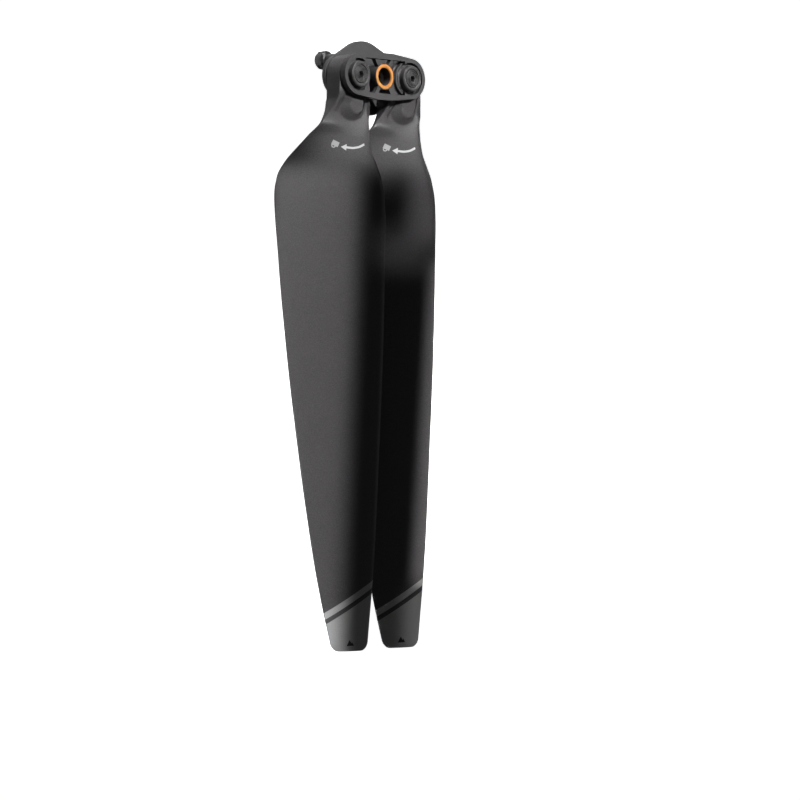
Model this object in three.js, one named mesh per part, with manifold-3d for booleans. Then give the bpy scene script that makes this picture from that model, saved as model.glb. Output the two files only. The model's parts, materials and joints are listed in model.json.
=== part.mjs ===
// A folding quick-release drone propeller with two blades, in millimetres, +Z up.
// The rotor turns about Z, and the motor lies below it.  The origin is on the rotor axis, on the motor
// seat.  The blades are folded side by side and point along +Y; each swings half a turn about its own
// pivot, blade_a outwards past +X and blade_b outwards past -X.  The leading edges are on the -X side.
import * as THREE from "three";
import { mergeVertices } from "three/addons/utils/BufferGeometryUtils.js";
import Module from "manifold-3d";

const wasm = await Module();
wasm.setup();

// ---- driving dimensions ------------------------------------------------------------------------
const DIAMETER = 406.4; // swept circle with both blades open, 16 inches
const PIVOT_X = 12; // each blade pivot, from the rotor axis
const BLADE_LENGTH = DIAMETER / 2 - PIVOT_X; // pivot to tip
const GAP = 0.2; // between pieces that touch or run on each other

const SEAT_LAND_R = 6; // round land under the bottom plate, which sits on the motor at z = 0
const FLANGE_BOTTOM = 0.3; // the rest of the bottom plate lies from here
const FLANGE_TOP = 1.7;
const ROOT_BOTTOM = 2.1; // the blade roots turn between the two plates
const ROOT_TOP = 8.7;
const PLATE_BOTTOM = 9.0; // the top plate
const PLATE_TOP = 11.1;
const CAP_TOP = 12.0; // the round pivot caps stand proud of the top plate

const ROOT_R = 6.8; // round end of each blade root, and of the top plate over it
const PLATE_HALF_WIDTH = 7.8; // the top plate is widest over the rotor axis
const PLATE_FLAT = 3.6; // half length of its straight middle
const FLANGE_R = 12.4; // round lobes of the bottom plate, above and below the line of the pivots
const LOBE_LEAN = 1.2; // each lobe lies this far towards its stud
const FLANGE_END_R = 7.0; // its round ends about the pivots
const EDGE = 0.4; // bevel on the plates' edges

const CAP_R = 4.3;
const CAP_CHAMFER = 0.25;
const CAP_FLANGE_R = 5.2; // each cap's flange lies low in its hole, so that a moat runs round the cap
const CAP_FLANGE_TOP = 9.9;
const CAP_RIM = 0.65; // wall between the cap's hole and the windows, as low as the flange
const SCREW_HEAD_R = 2.95;
const SCREW_HEAD_TOP = 11.8;
const SCREW_HEAD_BOTTOM = 10.5;
const SCREW_R = 1.25;
const SCREW_END = 0.9; // the centre screw stops inside the bottom plate
const CENTRE_HEAD_TOP = 7.6;
const SOCKET_R = 1.2; // hexagon sockets
const SOCKET_DEPTH = 1;
const SLEEVE_R = 2.3; // steel sleeve that each blade turns on
const BUSH_R = 3.4; // plastic bush moulded into the blade root
const WASHER_R = 4.6;
const WASHER_THICKNESS = 0.5;
const WASHER_RECESS = 0.5; // depth of the pocket in each face of the blade root

const TUBE_R = 4.45; // centre tube of the top plate
const TUBE_BORE_R = 3.0;
const TUBE_TOP = 10.85;
const TUBE_FLOOR = [4.1, 5.3]; // web across the tube, which the centre screw clamps
const SPIGOT_R = 2.75; // spigot on the bottom plate, inside the tube
const SPIGOT_TOP = 3.8;
const RING_R = 4.1; // coloured ring let into the tube's end
const RING_INNER_R = 3.05;
const RING_DEPTH = 0.6;
const WINDOW_HALF_HEIGHT = 5.7;
const WINDOW_HALF_LENGTH = 9.2;
const SPOKE_WIDTH = 1.4;
const SPOKE_ANGLE = 57; // degrees from the line through the pivots
const SPOKE_TOP = 10.7;

const STUD_AT = [7.1, -6.5]; // one bayonet stud; the other stands opposite it
const STUD_SHANK_R = 1.4; // pressed into a blind hole in the bottom plate
const STUD_SHANK_TOP = 1.0;
const STUD_NECK_R = 1.85;
const STUD_HEAD_R = 3.1;
const STUD_HEAD_TOP = -9.2;
const STUD_END = -13.4;
const STUD_NOTCH_WIDTH = 1.5;
const STUD_NOTCH_LENGTH = 2.4;
const NUT = { radius: 3.1, flangeRadius: 3.6, flangeBottom: -0.5, bottom: -2 };

const FACETS = 28; // sides of a round piece
const ARC_STEPS = 4; // half the sides of each arc in a plate's outline

// ---- colours -----------------------------------------------------------------------------------
const FINISH = {
  blade: { color: 0x4b494c, roughness: 0.55, metalness: 0 },
  hub: { color: 0x555355, roughness: 0.5, metalness: 0 },
  ring: { color: 0xfaaa4b, roughness: 0.45, metalness: 0 },
  cap: { color: 0x4c4a4c, roughness: 0.45, metalness: 0 },
  steel: { color: 0x2c2b2d, roughness: 0.35, metalness: 0.9 },
  bush: { color: 0xd9d5c8, roughness: 0.4, metalness: 0 },
  stud: { color: 0x3a393b, roughness: 0.4, metalness: 0.3 },
};

// ---- solids ------------------------------------------------------------------------------------
function solid(geometry) {
  const bare = new THREE.BufferGeometry();
  bare.setAttribute("position", geometry.getAttribute("position"));
  bare.setIndex(geometry.getIndex());
  const merged = mergeVertices(bare, 1e-4);
  return new wasm.Manifold(
    new wasm.Mesh({
      numProp: 3,
      vertProperties: new Float32Array(merged.getAttribute("position").array),
      triVerts: new Uint32Array(merged.getIndex().array),
    }),
  );
}

function geometryOf(manifold) {
  const mesh = manifold.getMesh();
  const geometry = new THREE.BufferGeometry();
  geometry.setAttribute("position", new THREE.BufferAttribute(mesh.vertProperties, mesh.numProp));
  geometry.setIndex(new THREE.BufferAttribute(mesh.triVerts, 1));
  geometry.computeVertexNormals();
  return geometry;
}

// A turned solid about Z, from [radius, z] points that go up its outside and close on the axis.
function turned(profile, facets = FACETS) {
  const points = profile.map(([r, z]) => new THREE.Vector2(r, z));
  return solid(new THREE.LatheGeometry(points, facets).rotateX(Math.PI / 2));
}

function disc(radius, bottom, top, facets = FACETS) {
  const profile = [[0, bottom], [radius, bottom], [radius, top], [0, top]];
  return turned(profile, facets);
}

// A disc with the same bevel round its bottom and top edges.
function bevelledDisc(radius, bottom, top, bevel) {
  return turned([
    [0, bottom],
    [radius - bevel, bottom],
    [radius, bottom + bevel],
    [radius, top - bevel],
    [radius - bevel, top],
    [0, top],
  ]);
}

function hexagon(radius, bottom, top) {
  return disc(radius, bottom, top, 6);
}

// A flat plate from an outline, with an optional bevel round both faces.
function plate(outline, bottom, top, bevel = 0) {
  const geometry = new THREE.ExtrudeGeometry(outline, {
    depth: top - bottom - 2 * bevel,
    bevelEnabled: bevel > 0,
    bevelThickness: bevel,
    bevelSize: bevel,
    bevelOffset: -bevel,
    bevelSegments: 1,
    curveSegments: ARC_STEPS,
  });
  return solid(geometry.translate(0, 0, bottom + bevel));
}

// ---- plate outlines ----------------------------------------------------------------------------
// A round end about each pivot and a round lobe on each side, joined by their tangents.
function flangeOutline() {
  const drop = FLANGE_R - FLANGE_END_R;
  const near = Math.acos(drop / (PIVOT_X - LOBE_LEAN));
  const far = Math.acos(drop / (PIVOT_X + LOBE_LEAN));
  const shape = new THREE.Shape();
  for (const turn of [0, Math.PI]) {
    const side = Math.cos(turn);
    shape.absarc(side * PIVOT_X, 0, FLANGE_END_R, turn - near, turn + far, false);
    shape.absarc(-side * LOBE_LEAN, 0, FLANGE_R, turn + far, turn + Math.PI - near, false);
  }
  return shape;
}

// Straight in the middle, then narrowing a little to the round ends over the pivots.
function topOutline() {
  const run = PIVOT_X - PLATE_FLAT;
  const reach = Math.hypot(run, PLATE_HALF_WIDTH);
  const lean = Math.PI / 2 - (Math.atan2(PLATE_HALF_WIDTH, run) - Math.asin(ROOT_R / reach));
  const shape = new THREE.Shape();
  shape.moveTo(-PLATE_FLAT, -PLATE_HALF_WIDTH);
  shape.lineTo(PLATE_FLAT, -PLATE_HALF_WIDTH);
  shape.absarc(PIVOT_X, 0, ROOT_R, -lean, lean, false);
  shape.lineTo(PLATE_FLAT, PLATE_HALF_WIDTH);
  shape.lineTo(-PLATE_FLAT, PLATE_HALF_WIDTH);
  shape.absarc(-PIVOT_X, 0, ROOT_R, Math.PI - lean, Math.PI + lean, false);
  shape.closePath();
  return shape;
}

function rectangle(halfLength, halfHeight) {
  const shape = new THREE.Shape();
  shape.moveTo(-halfLength, -halfHeight);
  shape.lineTo(halfLength, -halfHeight);
  shape.lineTo(halfLength, halfHeight);
  shape.lineTo(-halfLength, halfHeight);
  shape.closePath();
  return shape;
}

// ---- the hub -----------------------------------------------------------------------------------
const pivots = { a: PIVOT_X, b: -PIVOT_X };
const studs = { 1: STUD_AT, 2: STUD_AT.map((v) => -v) };

// Plates, caps' holes, four diagonal spokes and the centre tube, in one moulding.
function topPlate() {
  const window = plate(rectangle(WINDOW_HALF_LENGTH, WINDOW_HALF_HEIGHT), PLATE_BOTTOM - 1, PLATE_TOP + 1);
  let rims = disc(TUBE_R, ROOT_BOTTOM, TUBE_TOP);
  for (const x of Object.values(pivots)) {
    const rim = disc(CAP_FLANGE_R + GAP + CAP_RIM, PLATE_BOTTOM, CAP_FLANGE_TOP);
    rims = rims.add(rim.translate([x, 0, 0]));
  }
  let body = plate(topOutline(), PLATE_BOTTOM, PLATE_TOP, EDGE).subtract(window).add(rims);
  const length = WINDOW_HALF_HEIGHT / Math.sin(THREE.MathUtils.degToRad(SPOKE_ANGLE)) + SPOKE_WIDTH / 2;
  const spoke = plate(rectangle(length, SPOKE_WIDTH / 2), PLATE_BOTTOM, SPOKE_TOP);
  for (const angle of [SPOKE_ANGLE, -SPOKE_ANGLE]) {
    body = body.add(spoke.rotate([0, 0, angle]));
  }
  for (const x of Object.values(pivots)) {
    const hole = disc(CAP_FLANGE_R + GAP, PLATE_BOTTOM - 1, PLATE_TOP + 1);
    body = body.subtract(hole.translate([x, 0, 0]));
  }
  const ringGroove = disc(RING_R + GAP / 2, TUBE_TOP - RING_DEPTH - GAP / 2, TUBE_TOP + 1);
  return body
    .subtract(disc(TUBE_BORE_R, TUBE_FLOOR[1], TUBE_TOP + 1))
    .subtract(disc(TUBE_BORE_R, ROOT_BOTTOM - 1, TUBE_FLOOR[0]))
    .subtract(disc(SCREW_R + GAP, ROOT_BOTTOM, TUBE_TOP))
    .subtract(ringGroove);
}

function markingRing() {
  const outer = disc(RING_R, TUBE_TOP - RING_DEPTH, TUBE_TOP);
  return outer.subtract(disc(RING_INNER_R, TUBE_TOP - 1, TUBE_TOP + 1));
}

// The motor seat: a rhombic flange with a round land below, a spigot for the centre screw above and
// blind holes for the studs.
function bottomPlate() {
  let body = plate(flangeOutline(), FLANGE_BOTTOM, FLANGE_TOP, EDGE)
    .add(disc(SEAT_LAND_R, 0, FLANGE_TOP))
    .add(disc(SPIGOT_R, FLANGE_BOTTOM, SPIGOT_TOP))
    .subtract(disc(SCREW_R + GAP, SCREW_END - GAP, SPIGOT_TOP + 1));
  for (const x of Object.values(pivots)) {
    body = body.subtract(disc(SCREW_R + GAP, -1, FLANGE_TOP + 1).translate([x, 0, 0]));
  }
  for (const [x, y] of Object.values(studs)) {
    body = body.subtract(disc(STUD_SHANK_R + GAP, -1, STUD_SHANK_TOP + GAP).translate([x, y, 0]));
  }
  return body;
}

function centreScrew() {
  const head = bevelledDisc(TUBE_BORE_R - 2 * GAP, TUBE_FLOOR[1] + GAP, CENTRE_HEAD_TOP, GAP);
  const shank = disc(SCREW_R, SCREW_END, TUBE_FLOOR[1] + 1);
  return head.add(shank).subtract(hexagon(SOCKET_R, CENTRE_HEAD_TOP - SOCKET_DEPTH, CENTRE_HEAD_TOP + 1));
}

// ---- one pivot, about its own axis -------------------------------------------------------------
function pivotCap() {
  const body = turned([
    [0, PLATE_BOTTOM],
    [CAP_FLANGE_R, PLATE_BOTTOM],
    [CAP_FLANGE_R, CAP_FLANGE_TOP],
    [CAP_R, CAP_FLANGE_TOP],
    [CAP_R, CAP_TOP - CAP_CHAMFER],
    [CAP_R - CAP_CHAMFER, CAP_TOP],
    [0, CAP_TOP],
  ]);
  const pocket = disc(SCREW_HEAD_R + GAP, SCREW_HEAD_BOTTOM - GAP, CAP_TOP + 1);
  return body.subtract(pocket).subtract(disc(SCREW_R + GAP, PLATE_BOTTOM - 1, CAP_TOP));
}

function pivotScrew() {
  const head = turned([
    [0, SCREW_HEAD_BOTTOM],
    [SCREW_HEAD_R, SCREW_HEAD_BOTTOM],
    [SCREW_HEAD_R, SCREW_HEAD_TOP - 0.2],
    [SCREW_HEAD_R - 0.3, SCREW_HEAD_TOP],
    [2.05, SCREW_HEAD_TOP],
    [1.9, SCREW_HEAD_TOP - 0.15],
    [0, SCREW_HEAD_TOP - 0.15],
  ]);
  const shank = disc(SCREW_R, NUT.bottom - 2 * GAP, SCREW_HEAD_BOTTOM + 0.5);
  return head.add(shank).subtract(hexagon(SOCKET_R, SCREW_HEAD_TOP - SOCKET_DEPTH, SCREW_HEAD_TOP + 1));
}

function tube(outer, inner, bottom, top) {
  return disc(outer, bottom, top).subtract(disc(inner, bottom - 1, top + 1));
}

function pivotNut() {
  const flange = disc(NUT.flangeRadius, NUT.flangeBottom, FLANGE_BOTTOM - GAP);
  const body = hexagon(NUT.radius, NUT.bottom, NUT.flangeBottom + GAP);
  return body.add(flange).subtract(disc(SCREW_R + GAP, NUT.bottom - 1, 1));
}

// ---- bayonet studs -----------------------------------------------------------------------------
// A necked stud with a notched round head that enters the motor and turns to lock.
function bayonetStud() {
  const collarRadius = STUD_NECK_R + 0.5;
  const collarTop = FLANGE_BOTTOM - GAP;
  const collarBottom = collarTop - 1.2;
  let body = turned([
    [0, STUD_END],
    [STUD_HEAD_R - 0.8, STUD_END],
    [STUD_HEAD_R, STUD_END + 0.9],
    [STUD_HEAD_R, STUD_HEAD_TOP - 0.5],
    [STUD_HEAD_R - 0.5, STUD_HEAD_TOP],
    [STUD_NECK_R, STUD_HEAD_TOP + 0.4],
    [STUD_NECK_R, collarBottom - 0.5],
    [collarRadius, collarBottom],
    [collarRadius, collarTop],
    [STUD_SHANK_R, collarTop],
    [STUD_SHANK_R, STUD_SHANK_TOP],
    [0, STUD_SHANK_TOP],
  ]);
  const notch = plate(rectangle(STUD_NOTCH_WIDTH / 2, 2), STUD_END - 1, STUD_END + STUD_NOTCH_LENGTH);
  for (const turn of [0, 90, 180, 270]) {
    body = body.subtract(notch.translate([0, STUD_HEAD_R + 1.2, 0]).rotate([0, 0, turn]));
  }
  return body;
}

// ---- the blade ---------------------------------------------------------------------------------
// Each law gives [distance from the pivot along the blade, value].  The trailing edge is on +X.
const TRAILING_X = [
  [0, 6.8], [7.5, 6.9], [10.3, 7.8], [16, 11.6], [24, 17.1], [29, 20.5], [34, 22.7], [42, 23.5],
  [62, 23.4], [92, 22.0], [125, 18.9], [158, 14.4], [175, 11.0], [191.2, 6.9],
];
const TRAILING_Z = [
  [6, 5.4], [10.3, 4.7], [16, 4.7], [20, 2.1], [24, -0.3], [29, -3.0], [34, -4.7], [39, -5.3],
  [62, -3.3], [92, -0.9], [125, 1.4], [158, 3.4], [191.2, 5.0],
];
const LEADING_X = [
  [0, -6.8], [9, -7.5], [16, -7.7], [24, -8.1], [29, -9.3], [34, -10.9], [40, -12.3], [50, -12.9],
  [70, -13.1], [92, -12.8], [125, -11.7], [158, -10.2], [191.2, -7.4],
];
const LEADING_Z = [
  [6, 5.4], [16, 6.7], [24, 8.1], [34, 10.1], [42, 10.2], [62, 9.6], [92, 9.0], [125, 8.3],
  [158, 7.7], [191.2, 6.9],
];
const TRAILING_THICKNESS = [
  [5, 6.7], [7.8, 6.1], [10.3, 4.4], [13, 2.3], [16, 0.9], [30, 0.7], [191.2, 0.5],
];
const LEADING_THICKNESS = [[5, 6.7], [9, 5.8], [16, 3.6], [24, 1.6], [34, 0.9], [191.2, 0.5]];
const HALF_BULGE = [[6, 0], [16, 1.0], [26, 1.7], [40, 1.4], [90, 1.0], [150, 0.7], [191.2, 0.4]];
const CAMBER = [[8, 0], [24, 0.3], [45, 1.3], [90, 1.2], [150, 0.8], [191.2, 0.4]];

const ROOT_END = 16; // up to here the blade stays within its slot between the plates
const TIP_CORNER_R = 3; // rounded corners of the square tip
const TONGUE = { x: -1.1, halfWidth: 4.6, endHalfWidth: 2.9, end: 12.7, slope: 0.35 };

// A smooth, never overshooting curve through the points of a law, read at one distance.
function along(law, distance) {
  const last = law.length - 1;
  if (distance <= law[0][0]) return law[0][1];
  if (distance >= law[last][0]) return law[last][1];
  const rise = (i) => (law[i + 1][1] - law[i][1]) / (law[i + 1][0] - law[i][0]);
  const slope = (i) => {
    if (i === 0) return rise(0);
    if (i === last) return rise(last - 1);
    const before = rise(i - 1);
    const after = rise(i);
    return before * after > 0 ? (2 * before * after) / (before + after) : 0;
  };
  const i = law.findIndex(([d]) => d > distance) - 1;
  const span = law[i + 1][0] - law[i][0];
  const t = (distance - law[i][0]) / span;
  const keep = (1 + 2 * t) * (1 - t) ** 2;
  return (
    keep * law[i][1] +
    (1 - keep) * law[i + 1][1] +
    span * (slope(i) * t * (1 - t) ** 2 - slope(i + 1) * t * t * (1 - t))
  );
}

// How much the round root end, or a rounded tip corner, draws an edge in at this distance.
function edges(distance) {
  if (distance < 0) {
    const half = Math.sqrt(Math.max(ROOT_R ** 2 - distance ** 2, 0.25));
    return [half, -half];
  }
  const past = Math.max(distance - (BLADE_LENGTH - TIP_CORNER_R), 0);
  const drawn = TIP_CORNER_R - Math.sqrt(Math.max(TIP_CORNER_R ** 2 - past ** 2, 0));
  return [along(TRAILING_X, distance) - drawn, along(LEADING_X, distance) + drawn];
}

// The raised tongue on the upper face of the root: flat, U-shaped, with a shallow bevel round it.
function tongueTop(x, distance) {
  const narrow = THREE.MathUtils.smoothstep(distance, 5, TONGUE.end - TONGUE.endHalfWidth);
  const half = THREE.MathUtils.lerp(TONGUE.halfWidth, TONGUE.endHalfWidth, narrow);
  const beyond = Math.max(distance - (TONGUE.end - TONGUE.endHalfWidth), 0);
  const outside = Math.hypot(x - TONGUE.x, beyond * (half / TONGUE.endHalfWidth));
  return ROOT_TOP - TONGUE.slope * Math.max(outside - half, 0);
}

// One section, a closed loop of [x, z]: over the top from the trailing edge, and back underneath.
function section(distance, steps) {
  const { lerp } = THREE.MathUtils;
  const [trailing, leading] = edges(distance);
  const over = [];
  const under = [];
  for (let i = 0; i <= steps; i += 1) {
    const s = 0.5 - 0.5 * Math.cos((Math.PI * i) / steps);
    const x = lerp(trailing, leading, s);
    const chord = lerp(along(TRAILING_Z, distance), along(LEADING_Z, distance), s);
    const edge = lerp(along(TRAILING_THICKNESS, distance), along(LEADING_THICKNESS, distance), s);
    const middle = chord + 4 * s * (1 - s) * along(CAMBER, distance);
    const half = edge / 2 + along(HALF_BULGE, distance) * 1.8 * s ** 0.8 * Math.sqrt(1 - s);
    let top = middle + half;
    let bottom = middle - half;
    if (distance < ROOT_END) {
      top = Math.max(Math.min(top, ROOT_TOP), tongueTop(x, distance));
      bottom = Math.max(bottom, ROOT_BOTTOM);
    }
    over.push([x, top]);
    under.unshift([x, bottom]);
  }
  return [...over, ...under];
}

function bladeStations() {
  const stations = [];
  for (let angle = 80; angle > 5; angle -= 15) {
    stations.push(-ROOT_R * Math.sin(THREE.MathUtils.degToRad(angle)));
  }
  for (let distance = 0; distance < 26; distance += 2) stations.push(distance);
  for (let distance = 26; distance < 50; distance += 4) stations.push(distance);
  for (let distance = 50; distance < BLADE_LENGTH - TIP_CORNER_R; distance += 11) stations.push(distance);
  for (const share of [1, 0.6, 0.25, 0.05]) stations.push(BLADE_LENGTH - TIP_CORNER_R * share);
  stations.push(BLADE_LENGTH);
  return stations;
}

// A closed skin over the sections, with its root bored and recessed for the bush and the washers.
function blade() {
  const rings = bladeStations().map((d) => section(d, 10).map(([x, z]) => [x, d, z]));
  const count = rings[0].length;
  const index = [];
  rings.slice(1).forEach((_, r) => {
    for (let i = 0; i < count; i += 1) {
      const j = (i + 1) % count;
      const [a, b, c, d] = [r * count + i, r * count + j, (r + 1) * count + i, (r + 1) * count + j];
      index.push(a, c, b, b, c, d);
    }
  });
  const end = (rings.length - 1) * count;
  for (let i = 0; i + 1 < count / 2; i += 1) {
    const j = count - 1 - i;
    index.push(i, i + 1, j, i + 1, j - 1, j);
    index.push(end + i, end + j, end + i + 1, end + i + 1, end + j, end + j - 1);
  }
  const geometry = new THREE.BufferGeometry();
  geometry.setAttribute("position", new THREE.Float32BufferAttribute(rings.flat(2), 3));
  geometry.setIndex(index);
  return solid(geometry)
    .subtract(disc(BUSH_R + GAP, ROOT_BOTTOM - 1, ROOT_TOP + 1))
    .subtract(disc(WASHER_R + GAP, ROOT_TOP - WASHER_RECESS, ROOT_TOP + 1))
    .subtract(disc(WASHER_R + GAP, ROOT_BOTTOM - 1, ROOT_BOTTOM + WASHER_RECESS));
}

// ---- assembly ----------------------------------------------------------------------------------
const propeller = new THREE.Group();

function place(group, name, manifold, finish, x = 0, y = 0) {
  const mesh = new THREE.Mesh(geometryOf(manifold), new THREE.MeshStandardMaterial(FINISH[finish]));
  mesh.name = name;
  mesh.position.set(x, y, 0);
  group.add(mesh);
}

const hub = new THREE.Group();
propeller.add(hub);
place(hub, "bottom_plate", bottomPlate(), "hub");
place(hub, "top_plate", topPlate(), "hub");
place(hub, "marking_ring", markingRing(), "ring");
place(hub, "centre_screw", centreScrew(), "steel");

for (const [side, x] of Object.entries(pivots)) {
  const pivot = new THREE.Group();
  pivot.position.set(x, 0, 0);
  propeller.add(pivot);
  const bore = SLEEVE_R + GAP;
  const low = ROOT_BOTTOM + WASHER_RECESS - GAP; // top of the lower washer
  const high = ROOT_TOP - WASHER_RECESS + GAP; // underside of the upper washer
  const sleeve = tube(SLEEVE_R, SCREW_R + GAP, FLANGE_TOP + GAP / 2, PLATE_BOTTOM - GAP / 2);
  place(pivot, `pivot_cap_${side}`, pivotCap(), "cap");
  place(pivot, `pivot_screw_${side}`, pivotScrew(), "steel");
  place(pivot, `pivot_nut_${side}`, pivotNut(), "steel");
  place(pivot, `pivot_sleeve_${side}`, sleeve, "steel");
  place(pivot, `lower_washer_${side}`, tube(WASHER_R, bore, low - WASHER_THICKNESS, low), "bush");
  place(pivot, `upper_washer_${side}`, tube(WASHER_R, bore, high, high + WASHER_THICKNESS), "bush");
  place(pivot, `blade_bush_${side}`, tube(BUSH_R, bore, low + GAP, high - GAP), "bush");
  place(pivot, `blade_${side}`, blade(), "blade");
}

for (const [number, [x, y]] of Object.entries(studs)) {
  place(hub, `bayonet_stud_${number}`, bayonetStud(), "stud", x, y);
}

export default propeller;
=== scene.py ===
"""A folding quick-release drone propeller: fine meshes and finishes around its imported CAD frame.

Lengths in the script are millimetres, and MM turns them into Blender's metres.  The rotor axis is Z, the
folded blades point along +Y, and their leading edges are on the -X side.
"""

import json
import math

import bmesh
import bpy
from mathutils import Matrix, Vector


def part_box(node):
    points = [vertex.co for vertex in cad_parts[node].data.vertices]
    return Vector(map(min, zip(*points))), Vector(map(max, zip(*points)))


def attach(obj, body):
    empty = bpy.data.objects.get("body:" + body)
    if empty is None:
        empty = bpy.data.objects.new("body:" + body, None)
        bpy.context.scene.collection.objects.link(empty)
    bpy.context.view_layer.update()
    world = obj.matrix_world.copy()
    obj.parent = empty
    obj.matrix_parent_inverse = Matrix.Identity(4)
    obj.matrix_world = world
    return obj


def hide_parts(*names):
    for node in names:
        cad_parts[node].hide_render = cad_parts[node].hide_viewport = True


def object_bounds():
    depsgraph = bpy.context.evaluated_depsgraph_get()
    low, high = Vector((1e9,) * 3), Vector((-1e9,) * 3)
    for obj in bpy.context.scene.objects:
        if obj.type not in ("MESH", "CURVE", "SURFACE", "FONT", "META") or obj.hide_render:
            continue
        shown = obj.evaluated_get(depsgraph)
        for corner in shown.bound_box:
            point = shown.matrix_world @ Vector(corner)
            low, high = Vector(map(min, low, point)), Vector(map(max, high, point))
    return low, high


MM = 0.001
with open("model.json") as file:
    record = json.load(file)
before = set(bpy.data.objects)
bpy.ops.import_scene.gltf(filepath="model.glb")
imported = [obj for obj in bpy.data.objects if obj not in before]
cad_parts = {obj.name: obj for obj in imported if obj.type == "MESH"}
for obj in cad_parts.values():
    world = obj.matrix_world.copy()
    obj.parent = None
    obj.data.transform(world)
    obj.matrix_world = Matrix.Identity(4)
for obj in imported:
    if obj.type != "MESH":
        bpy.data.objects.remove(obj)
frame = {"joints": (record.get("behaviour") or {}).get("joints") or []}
cad_box = [list(corner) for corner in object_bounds()]


# ---- places and sizes from the frame -------------------------------------------------------------
def low(node, axis):
    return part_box(node)[0]["xyz".index(axis)] / MM


def high(node, axis):
    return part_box(node)[1]["xyz".index(axis)] / MM


def radius(node):
    return (high(node, "x") - low(node, "x")) / 2


def middle(node):
    """The node's centre in X and Y, in millimetres."""
    lowest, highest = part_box(node)
    return tuple((lowest[i] + highest[i]) / 2 / MM for i in (0, 1))


SIDES = {"a": "blade_a", "b": "blade_b"}  # the blades' bodies
PIVOT_X = {j["child"][-1]: j["pos_m"][0] / MM for j in frame["joints"]}
BLADE_LENGTH = high("blade_a", "y")
ROOT_R = 6.8  # round end of the blade's root
GAP = 0.2  # between neighbouring pieces, as in the frame

FLANGE_BOTTOM = high("pivot_nut_a", "z") + GAP
FLANGE_TOP = low("pivot_sleeve_a", "z") - GAP / 2
ROOT_BOTTOM = low("top_plate", "z")
ROOT_TOP = high("upper_washer_a", "z") - GAP
PLATE_BOTTOM = low("pivot_cap_a", "z")
PLATE_TOP = high("top_plate", "z")
PLATE_HALF_WIDTH = high("top_plate", "y")
FLANGE_R, LOBE_LEAN = 12.4, 1.2  # the bottom plate's lobes lean towards the studs
FLANGE_END_R = ROOT_R + GAP
CAP_FLANGE_R = radius("pivot_cap_a")
CAP_R, CAP_FLANGE_TOP = 4.3, 9.9  # the cap's boss, and its flange at the bottom of the moat round it
TUBE_TOP = high("marking_ring", "z")
RING_R = radius("marking_ring")
TUBE_R = RING_R + 0.3
TUBE_BORE_R = 3.0
SPIGOT_R = 2.75

# ---- shape of the blade --------------------------------------------------------------------------
# Each law gives (distance from the pivot along the blade, value), as in the frame's blade.
TRAILING_X = (
    (0, 6.8), (7.5, 6.9), (10.3, 7.8), (16, 11.6), (24, 17.1), (29, 20.5), (34, 22.7), (42, 23.5),
    (62, 23.4), (92, 22.0), (125, 18.9), (158, 14.4), (175, 11.0), (191.2, 6.9),
)
TRAILING_Z = (
    (6, 5.4), (10.3, 4.7), (16, 4.7), (20, 2.1), (24, -0.3), (29, -3.0), (34, -4.7), (39, -5.3),
    (62, -3.3), (92, -0.9), (125, 1.4), (158, 3.4), (191.2, 5.0),
)
LEADING_X = (
    (0, -6.8), (9, -7.5), (16, -7.7), (24, -8.1), (29, -9.3), (34, -10.9), (40, -12.3), (50, -12.9),
    (70, -13.1), (92, -12.8), (125, -11.7), (158, -10.2), (191.2, -7.4),
)
LEADING_Z = (
    (6, 5.4), (16, 6.7), (24, 8.1), (34, 10.1), (42, 10.2), (62, 9.6), (92, 9.0), (125, 8.3),
    (158, 7.7), (191.2, 6.9),
)
TRAILING_THICKNESS = ((5, 6.7), (7.8, 6.1), (10.3, 4.4), (13, 2.3), (16, 0.9), (30, 0.7), (191.2, 0.5))
LEADING_THICKNESS = ((5, 6.7), (9, 5.8), (16, 3.6), (24, 1.6), (34, 0.9), (191.2, 0.5))
HALF_BULGE = ((6, 0), (16, 1.0), (26, 1.7), (40, 1.4), (90, 1.0), (150, 0.7), (191.2, 0.4))
CAMBER = ((8, 0), (24, 0.3), (45, 1.3), (90, 1.2), (150, 0.8), (191.2, 0.4))

ROOT_END = 16  # up to here the blade stays within its slot between the plates
TIP_CORNER_R = 3
TIP_ROUNDING = 0.7  # the thickness runs out over this length at the tip
TONGUE_X, TONGUE_HALF, TONGUE_END_HALF, TONGUE_END = -1.1, 4.6, 2.9, 12.7  # flat top, narrower at its end
TONGUE_TAPER_START = 5
TONGUE_SLOPE = 0.8  # how steeply the tongue's sides fall
CREASE = 0.1  # softens the lines where the tongue meets the root
TROUGH_DEPTH, TROUGH_REACH = 1.5, 8.0  # a soft hollow round the tongue's end
TROUGH_START, TROUGH_FULL = 5, 12  # the hollow sinks in between these distances along the blade
TROUGH_FROM_TRAILING, TROUGH_FROM_LEADING = 3.5, 1.2  # it fades out this close to the edges
NOSE = 3.0  # the leading edge is round over this much of the chord
NOSE_START, NOSE_FULL = 9, 20  # the round nose grows in between these distances
NOSE_TIP_SHARE = 0.5  # its length at the tip, against that near the root
NOSE_LEAST = 0.3  # the share of the thickness that is kept at the very edge
BULGE, BULGE_LEAN = 1.8, 0.8  # set how full the section is, and how far its thick part leans forwards


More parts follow.
